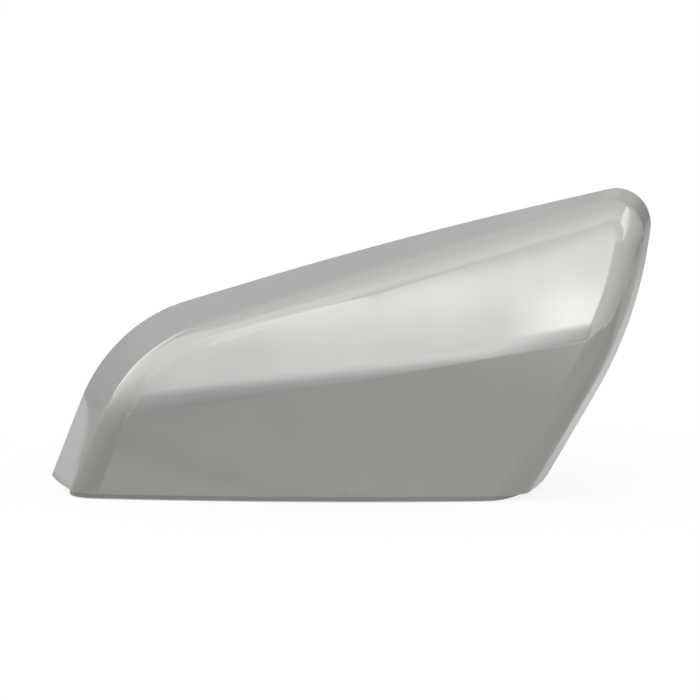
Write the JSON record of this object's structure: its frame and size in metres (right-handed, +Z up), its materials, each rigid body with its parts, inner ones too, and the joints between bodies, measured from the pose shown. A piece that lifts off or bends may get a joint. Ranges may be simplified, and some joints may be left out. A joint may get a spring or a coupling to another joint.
{
  "type": "wing mirror cover",
  "caption": "Chrome-plated upper cover for a car's left-hand door mirror: a hollow clip-on shell with a sloping top, a pointed outboard tip and a soft front ridge.",
  "frame": {"origin": "under the middle of the cover's box, on the plane of its lower edge", "axes": "+X outboard along the cover's length, +Y to the rear, towards the mirror housing, +Z up"},
  "size_m": [0.2533, 0.0742, 0.1245],
  "materials": {
    "chrome": "bright chrome plating on polished ABS"
  },
  "bodies": {
    "root": {"mirror_cover": "chrome"}
  },
  "joints": []
}
